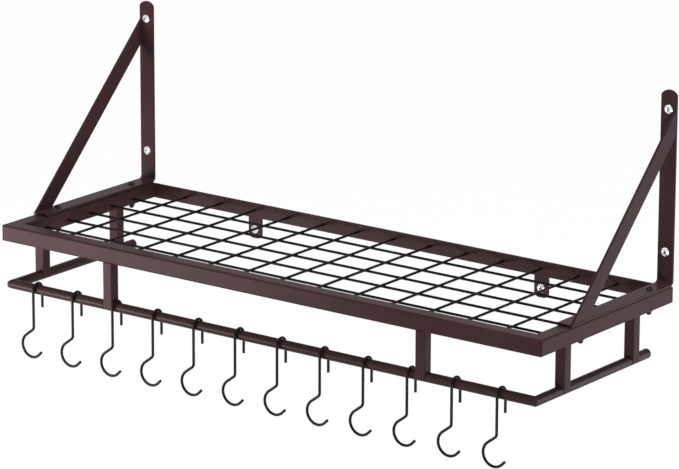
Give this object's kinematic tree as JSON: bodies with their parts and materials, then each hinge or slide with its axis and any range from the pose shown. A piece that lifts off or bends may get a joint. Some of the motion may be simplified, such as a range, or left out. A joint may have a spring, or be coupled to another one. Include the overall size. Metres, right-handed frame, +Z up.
{
  "type": "wall-mounted pot rack",
  "caption": "Wall-mounted pot rack: a tube-framed wire shelf on braced wall brackets, with a round rail below it that carries loose swinging hooks.",
  "frame": {"origin": "on the wall plane, in the middle of the rectangle of the four bracket screws", "axes": "+X to the right end of the rack as seen from the room, +Y into the wall, +Z up"},
  "size_m": [0.751, 0.2666, 0.3721],
  "materials": {
    "coat": "satin powder coat, dark bronze",
    "hook_coat": "satin powder coat, dark bronze",
    "zinc": "bright zinc plate",
    "black_steel": "black oxide",
    "plug": "matt, dark bronze"
  },
  "bodies": {
    "rack": {"cap_nuts": "black_steel", "cross_wire_1": "coat", "cross_wire_10": "coat", "cross_wire_11": "coat", "cross_wire_12": "coat", "cross_wire_13": "coat", "cross_wire_2": "coat", "cross_wire_3": "coat", "cross_wire_4": "coat", "cross_wire_5": "coat", "cross_wire_6": "coat", "cross_wire_7": "coat", "cross_wire_8": "coat", "cross_wire_9": "coat", "foot_bolts": "black_steel", "front_post_left": "coat", "front_post_right": "coat", "front_rail": "coat", "hook_rail": "coat", "left_brace": "coat", "left_bracket": "coat", "left_end_plug": "plug", "left_post_front": "coat", "left_post_rear": "coat", "left_rail": "coat", "left_return": "coat", "long_wire_1": "coat", "long_wire_2": "coat", "long_wire_3": "coat", "long_wire_4": "coat", "long_wire_5": "coat", "rear_bar": "coat", "right_brace": "coat", "right_bracket": "coat", "right_end_plug": "plug", "right_post_front": "coat", "right_post_rear": "coat", "right_rail": "coat", "right_return": "coat", "wall_screws": "zinc"},
    "hook_1": {"hook_1": "hook_coat"},
    "hook_2": {"hook_2": "hook_coat"},
    "hook_3": {"hook_3": "hook_coat"},
    "hook_4": {"hook_4": "hook_coat"},
    "hook_5": {"hook_5": "hook_coat"},
    "hook_6": {"hook_6": "hook_coat"},
    "hook_7": {"hook_7": "hook_coat"},
    "hook_8": {"hook_8": "hook_coat"},
    "hook_9": {"hook_9": "hook_coat"},
    "hook_10": {"hook_10": "hook_coat"},
    "hook_11": {"hook_11": "hook_coat"},
    "hook_12": {"hook_12": "hook_coat"}
  },
  "joints": [
    {"name": "hook_1_swing", "type": "hinge", "parent": "rack", "child": "hook_1", "pos_m": [-0.3276, -0.2492, -0.18885], "axis": [1, 0, 0], "range_deg": [-75, 75]},
    {"name": "hook_2_swing", "type": "hinge", "parent": "rack", "child": "hook_2", "pos_m": [-0.2687, -0.2492, -0.18885], "axis": [1, 0, 0], "range_deg": [-75, 75]},
    {"name": "hook_3_swing", "type": "hinge", "parent": "rack", "child": "hook_3", "pos_m": [-0.2095, -0.2492, -0.18885], "axis": [1, 0, 0], "range_deg": [-75, 75]},
    {"name": "hook_4_swing", "type": "hinge", "parent": "rack", "child": "hook_4", "pos_m": [-0.15063, -0.2492, -0.18885], "axis": [1, 0, 0], "range_deg": [-75, 75]},
    {"name": "hook_5_swing", "type": "hinge", "parent": "rack", "child": "hook_5", "pos_m": [-0.09176, -0.2492, -0.18885], "axis": [1, 0, 0], "range_deg": [-75, 75]},
    {"name": "hook_6_swing", "type": "hinge", "parent": "rack", "child": "hook_6", "pos_m": [-0.03289, -0.2492, -0.18885], "axis": [1, 0, 0], "range_deg": [-75, 75]},
    {"name": "hook_7_swing", "type": "hinge", "parent": "rack", "child": "hook_7", "pos_m": [0.02599, -0.2492, -0.18885], "axis": [1, 0, 0], "range_deg": [-75, 75]},
    {"name": "hook_8_swing", "type": "hinge", "parent": "rack", "child": "hook_8", "pos_m": [0.08486, -0.2492, -0.18885], "axis": [1, 0, 0], "range_deg": [-75, 75]},
    {"name": "hook_9_swing", "type": "hinge", "parent": "rack", "child": "hook_9", "pos_m": [0.14373, -0.2492, -0.18885], "axis": [1, 0, 0], "range_deg": [-75, 75]},
    {"name": "hook_10_swing", "type": "hinge", "parent": "rack", "child": "hook_10", "pos_m": [0.2026, -0.2492, -0.18885], "axis": [1, 0, 0], "range_deg": [-75, 75]},
    {"name": "hook_11_swing", "type": "hinge", "parent": "rack", "child": "hook_11", "pos_m": [0.2615, -0.2492, -0.18885], "axis": [1, 0, 0], "range_deg": [-75, 75]},
    {"name": "hook_12_swing", "type": "hinge", "parent": "rack", "child": "hook_12", "pos_m": [0.3204, -0.2492, -0.18885], "axis": [1, 0, 0], "range_deg": [-75, 75]}
  ]
}
